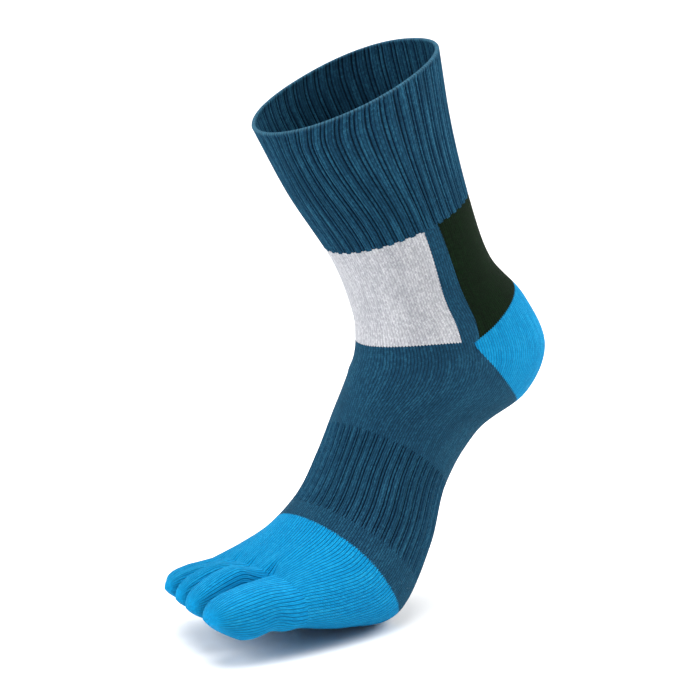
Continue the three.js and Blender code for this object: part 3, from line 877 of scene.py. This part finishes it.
def knitted(name, dark, middle, light, speckle, streak, gap=0.3, line=0.4, narrow=3.0, fine=1.0, rib=0.0,
            welt=0.0, tip=False, sheen=0.12, sheen_tint=(0.06, 0.45, 0.65, 1.0), depth=0.00035):
    """A knit in one yarn. speckle is how much single stitches differ, streak how much whole wales do, gap
    how much painted shade darkens the spaces between strands, line how much painted shade darkens the lines
    between wales and narrow how thin they are, fine the wales to one counted wale, rib how much painted shade
    darkens a rib's furrows, and welt how much lighter the rim's edge is. With tip, the wales fade into small
    beads of yarn where a pocket's rows close."""
    recipe = Recipe(name)
    address = recipe.node("ShaderNodeUVMap", {"uv_map": "stitches"})
    parts = recipe.node("ShaderNodeSeparateXYZ", None, {0: address})
    counted = Wire(recipe, parts.socket.node.outputs[1])
    across = parts * fine + (0.5 if rib else 0.0)
    down = counted * fine
    off_middle = abs(across.within() - 0.5)
    off_strand = (across * 2.0).within() - 0.5
    slant = down + off_middle * LEG_LEAN
    along = STRAND_LOW + (1.0 - STRAND_LOW) * (slant.within() * pi).sine()
    strand = (1.0 - off_strand * off_strand * 4.0) * along
    leg = recipe.node("ShaderNodeCombineXYZ", None, {0: (across * 2.0).whole(), 1: slant.whole()})
    chance = recipe.node("ShaderNodeTexWhiteNoise", {"noise_dimensions": "2D"}, {"Vector": leg})
    wale_noise = recipe.noise(across.whole() * WALE_GRAIN[0], down * WALE_GRAIN[1])
    patches = recipe.noise(across * PATCH_GRAIN[0], down * PATCH_GRAIN[1])
    fibres = recipe.noise(across * FIBRE_GRAIN[0], slant * FIBRE_GRAIN[1], detail=2.0, roughness=0.6)
    uneven = (chance - 0.5) * speckle + (wale_noise - 0.5) * streak
    wale_groove = (off_middle * 2.0) ** narrow
    if tip:
        girth = recipe.node("ShaderNodeAttribute", {"attribute_name": "fullness"}, None, 2)
        full = ((girth - THIN_GIRTH) * FULL_SLOPE).kept(0.0, 1.0)
        spot = recipe.node("ShaderNodeTexCoord", out=3)
        cell = recipe.node("ShaderNodeTexVoronoi", None, {"Vector": spot, "Scale": BEADS})
        bead = 1.0 - cell * BEAD_FALL
        uneven, wale_groove = uneven * full, MEAN_WALE_GROOVE + (wale_groove - MEAN_WALE_GROOVE) * full
        strand = bead + (strand - bead) * full
    tone = 0.5 + uneven + (patches - 0.5) * PATCH_SHARE + (fibres - 0.5) * FIBRE_SHARE
    lower = recipe.mix((tone * 2.0).kept(0.0, 1.0), yarn(dark), yarn(middle))
    whole = recipe.mix((tone * 2.0 - 1.0).kept(0.0, 1.0), lower, yarn(light))
    # painted shade: darker in the gaps between the strands and along the lines between the wales
    shadow = (1.0 - gap * (1.0 - strand)) * (1.0 - wale_groove * line)
    relief = strand * STRAND_RELIEF + (1.0 - wale_groove) * WALE_GROOVE_RELIEF + fibres * FIBRE_RELIEF
    if rib:
        # painted shade: the rib's furrows are mixed towards dark navy
        phase = abs((parts / RIB_WALES + 0.5).within() - 0.5)
        furrow_shade_mask = (FURROW_WIDE - abs(phase - FURROW_AT) * FURROW_SLOPE).kept(0.0, 1.0)
        whole = recipe.mix(furrow_shade_mask * rib, whole, yarn(FURROW_PAINTED_SHADE))
    if welt:
        edge = (WELT_COURSES - counted).kept(0.0, 1.0)
        whole = recipe.mix(edge * welt, whole, yarn(WELT_SHADE))
    return recipe.finish(recipe.shade(whole, shadow), 0.9, sheen, sheen_tint, relief, depth)


teal_rib = knitted("teal_rib_knit", *TEAL, 0.25, 0.6, line=0.5, narrow=2.0, rib=0.85, welt=0.3)
arch_rib = knitted("arch_rib_knit", *TEAL, 0.25, 0.4, line=0.5, narrow=2.0, rib=0.9)
teal_plain = knitted("teal_plain_knit", *TEAL, 0.25, 0.2, line=0.6, narrow=2.0)
grey_plain = knitted("grey_marl_knit", "9c9da6", "c6c7cd", "f2f2f5", 0.45, 0.4, gap=0.2, line=0.25,
                     sheen_tint=WHITE, sheen=0.1)
green_plain = knitted("bottle_green_knit", "030b03", "061807", "0c270e", 0.4, 0.4, line=0.3,
                      sheen=0.01, sheen_tint=(0.3, 0.8, 0.4, 1.0))
# The heel's blue is the forefoot's blue made a little darker: painted shade.
blue_heel = knitted("blue_heel_knit", "046ca4", "078ec8", "28aade", 0.3, 0.5, gap=0.25, line=0.5)
blue_plain = knitted("blue_forefoot_knit", *BLUE, 0.3, 0.4, gap=0.25, line=0.5, narrow=2.4,
                     fine=FOREFOOT_FINE, depth=0.0005)
blue_toe = knitted("blue_toe_knit", *BLUE, 0.35, 0.5, gap=0.25, line=0.5, narrow=2.2, fine=TOE_FINE,
                   depth=0.0005, tip=True)
print("materials:", len(bpy.data.materials))

# %% [markdown]
# Every piece takes its finish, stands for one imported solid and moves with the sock's only body.

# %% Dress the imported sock
PIECES = [
    (cuff, "cuff", "teal_rib", teal_rib),
    (front_block, "front_block", "grey_knit", grey_plain),
    (back_block, "back_block", "green_knit", green_plain),
    (ankle, "ankle", "teal_knit", teal_plain),
    (heel_pocket, "heel_pocket", "blue_heel", blue_heel),
    (arch_band, "arch_band", "arch_rib", arch_rib),
    (midfoot, "midfoot", "teal_knit", teal_plain),
    (forefoot, "forefoot", "blue_knit", blue_plain),
    *[(pocket, name, "toe_knit", blue_toe) for name, pocket in toes.items()],
]
for piece, node, slot, material in PIECES:
    piece.data.materials.append(material)
    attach(piece, "root")
    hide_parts(node)
print("pieces:", len(PIECES), "triangles:", sum(
    sum(len(p.vertices) - 2 for p in piece.data.polygons) for piece, *_ in PIECES))

# %% [markdown]
# The photograph has a white ground and even light, a little stronger from the right and from above. A floor
# that curves up behind the sock gives that without a horizon, and large soft lamps give light without hard
# shadows.

# %% Floor and light
FLOOR_FRONT, FLOOR_BACK, BEND_RADIUS, WALL_TOP, FLOOR_SIDE = -3.0, 1.6, 0.8, 3.5, 3.5
VIEW_AHEAD, VIEW_RIGHT = (0.6081, 0.7783), (0.788, -0.6157)  # the photograph's directions, from above
FLOOR_LEVEL = -SOCK_DROP * 1.0062  # where the lowest point of the ball lies
BEND_STEPS = 24


def backdrop():
    """A floor that runs back and turns up into a wall: a straight line, a quarter circle and a straight
    line, carried sideways."""
    turn = np.linspace(0, pi / 2, BEND_STEPS)
    bend_away = FLOOR_BACK + BEND_RADIUS * np.sin(turn)
    away = np.concatenate([[FLOOR_FRONT], bend_away, [FLOOR_BACK + BEND_RADIUS]])
    rise = np.concatenate([[0.0], BEND_RADIUS - BEND_RADIUS * np.cos(turn), [WALL_TOP]])
    side = np.array([-FLOOR_SIDE, FLOOR_SIDE])[:, None]
    x = away * VIEW_AHEAD[0] + side * VIEW_RIGHT[0]
    y = away * VIEW_AHEAD[1] + side * VIEW_RIGHT[1]
    z = np.broadcast_to(rise + FLOOR_LEVEL, x.shape)
    r, c = quads_of(2, len(away), False, False)
    mesh = bpy.data.meshes.new("floor")
    mesh.from_pydata(np.stack([x, y, z], -1).reshape(-1, 3).tolist(), [], (r * len(away) + c).tolist())
    mesh.polygons.foreach_set("use_smooth", np.ones(len(mesh.polygons), bool))
    made = bpy.data.objects.new("floor", mesh)
    bpy.context.collection.objects.link(made)
    return made


floor = backdrop()
paper = Recipe("floor_paper")
grain = paper.node("ShaderNodeTexNoise", None, {"Scale": 40.0, "Detail": 2.0})
paper_colour = paper.mix(grain, (0.91, 0.91, 0.91, 1.0), (0.95, 0.95, 0.95, 1.0))
floor.data.materials.append(paper.finish(paper_colour, 0.95, 0.0, WHITE, grain, 0.00002))


def lamp(name, place, aim, size, power):
    """A square lamp at a place, turned towards its aim."""
    data = bpy.data.lights.new(name, "AREA")
    data.size, data.energy = size, power
    made = bpy.data.objects.new(name, data)
    made.location = place
    made.rotation_mode = "QUATERNION"
    made.rotation_quaternion = (Vector(aim) - Vector(place)).to_track_quat("-Z", "Y")
    bpy.context.collection.objects.link(made)
    return made


MIDDLE = (0.0, 0.0, -0.12)
lamp("key_lamp", (1.2, -0.55, 0.8), MIDDLE, 1.0, 23.0)
lamp("edge_lamp", (-1.3, 0.5, 0.7), MIDDLE, 1.0, 20.0)
lamp("top_lamp", (-0.4, -0.35, 1.5), MIDDLE, 1.2, 28.0)
lamp("wall_lamp", (0.55, 0.7, 1.6), (1.45, 1.85, 0.3), 2.0, 36.0)
world = bpy.data.worlds.new("studio")
world.use_nodes = True
sky = world.node_tree.nodes["Background"]
sky.inputs["Color"].default_value, sky.inputs["Strength"].default_value = WHITE, 0.3
bpy.context.scene.world = world
bpy.context.scene.view_settings.view_transform = "Standard"
print("lamps:", len(bpy.data.lights))

# %% [markdown]
# The camera stands in front of the toes on the big-toe side, a little above the middle of the sock, where
# the photograph was taken from.

# %% Camera
AZIMUTH, ELEVATION, DISTANCE = radians(-38), radians(9), 0.84
SHIFT_RIGHT, SHIFT_DOWN = 0.00315, 0.1197
level = np.cos(ELEVATION)
back = np.array([np.sin(AZIMUTH) * level, -np.cos(AZIMUTH) * level, np.sin(ELEVATION)])
right = np.array([np.cos(AZIMUTH), np.sin(AZIMUTH), 0.0])
up = np.cross(back, right)
eye = DISTANCE * back + SHIFT_RIGHT * right - SHIFT_DOWN * up
camera_data = bpy.data.cameras.new("camera")
camera_data.lens, camera_data.sensor_width = 96.0, 36.0
camera_data.clip_start, camera_data.clip_end = 0.01, 20.0
camera = bpy.data.objects.new("camera", camera_data)
turned = np.stack([right, up, back], 1)
camera.matrix_world = Matrix([[*row, e] for row, e in zip(turned, eye)] + [[0, 0, 0, 1]])
bpy.context.collection.objects.link(camera)
bpy.context.scene.camera = camera
print("camera at", [round(v, 3) for v in eye])
